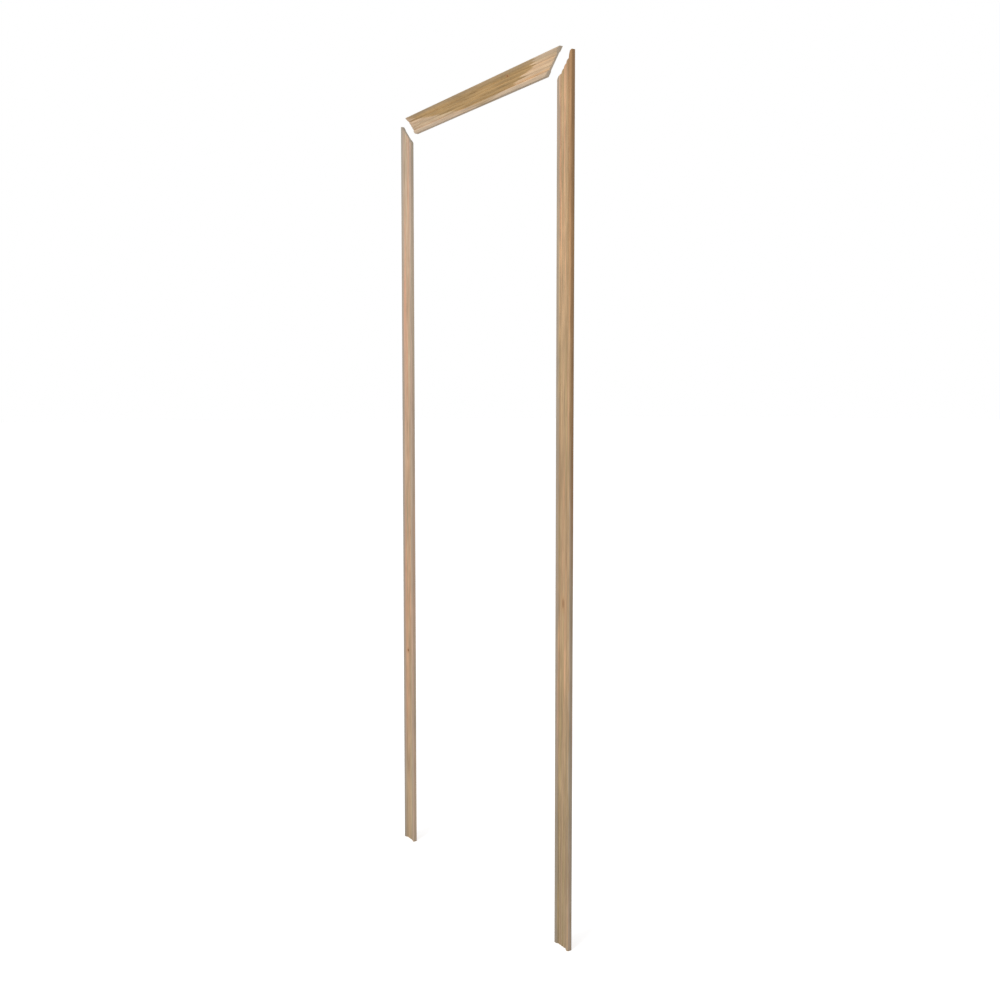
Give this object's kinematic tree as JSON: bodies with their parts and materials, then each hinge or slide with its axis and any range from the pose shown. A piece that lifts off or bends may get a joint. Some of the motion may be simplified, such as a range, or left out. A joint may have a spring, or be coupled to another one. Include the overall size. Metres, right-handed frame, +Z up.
{
  "type": "door casing",
  "caption": "Mitred pine door casing, opened at its mitres: upright legs with square feet and a head, reeded on the face with a round outer nose, that trim a doorway.",
  "frame": {"origin": "on the wall face at floor level, midway between the legs", "axes": "+X to the right seen from the room, +Y into the wall, +Z up along the legs"},
  "size_m": [0.838, 0.0124, 2.1536],
  "materials": {
    "pine": "planed bare pine, unfinished"
  },
  "bodies": {
    "root": {"left_leg": "pine", "right_leg": "pine", "head": "pine"}
  },
  "joints": []
}
